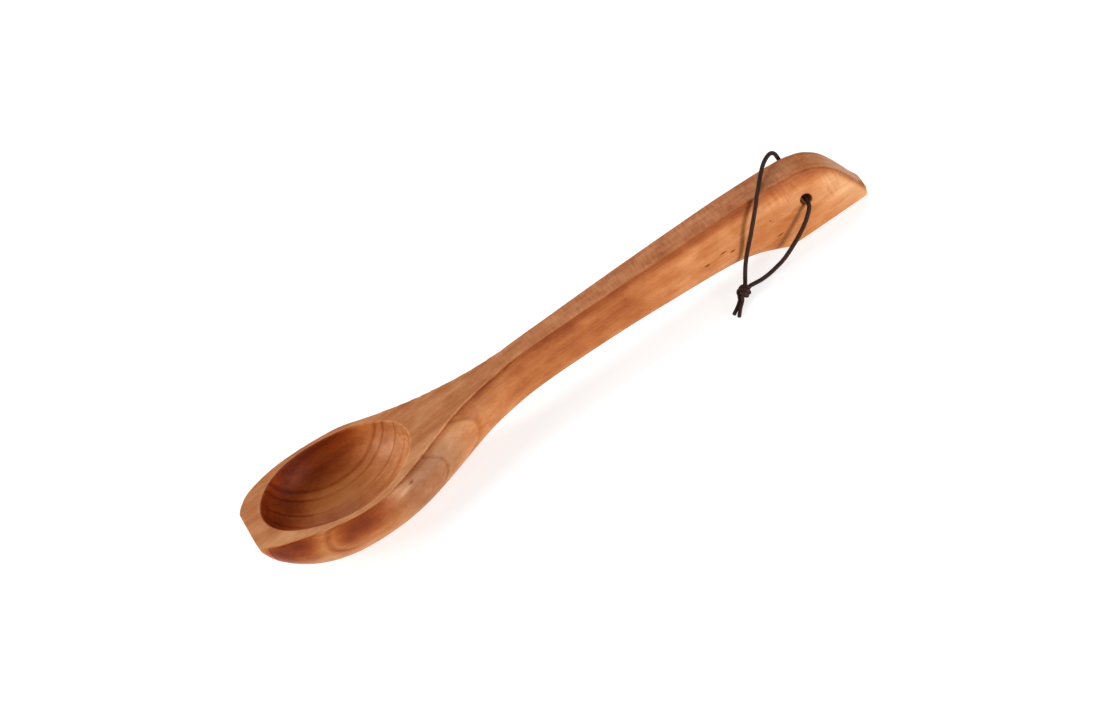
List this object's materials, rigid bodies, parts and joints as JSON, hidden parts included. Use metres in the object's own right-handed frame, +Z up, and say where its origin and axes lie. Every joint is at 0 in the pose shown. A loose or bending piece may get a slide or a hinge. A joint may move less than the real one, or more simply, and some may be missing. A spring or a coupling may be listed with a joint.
{
  "type": "wooden ladle",
  "caption": "Carved wooden ladle with a deep oval bowl, a blunt pouring lip, a deep slim handle with a heel, and a knotted leather hanging thong.",
  "frame": {"origin": "on the surface that the ladle rests on, below the middle of its length, in its plane of symmetry", "axes": "+X from the pouring lip to the handle's end, +Y across the ladle to its left as seen from the lip, +Z up out of the bowl; the ladle is the same on both sides of y = 0, apart from the thong, whose knot lies on the -Y side"},
  "size_m": [0.4, 0.0902, 0.0482],
  "materials": {
    "oiled_hardwood": "hand-carved and sanded orange-brown hardwood, oiled to a soft sheen",
    "dark_leather": "thin round dark brown leather lace, matt with a slight sheen"
  },
  "bodies": {
    "root": {"ladle": "oiled_hardwood", "thong_near_strand": "dark_leather", "thong_far_strand": "dark_leather", "thong_knot": "dark_leather", "thong_tail_1": "dark_leather", "thong_tail_2": "dark_leather"}
  },
  "joints": []
}
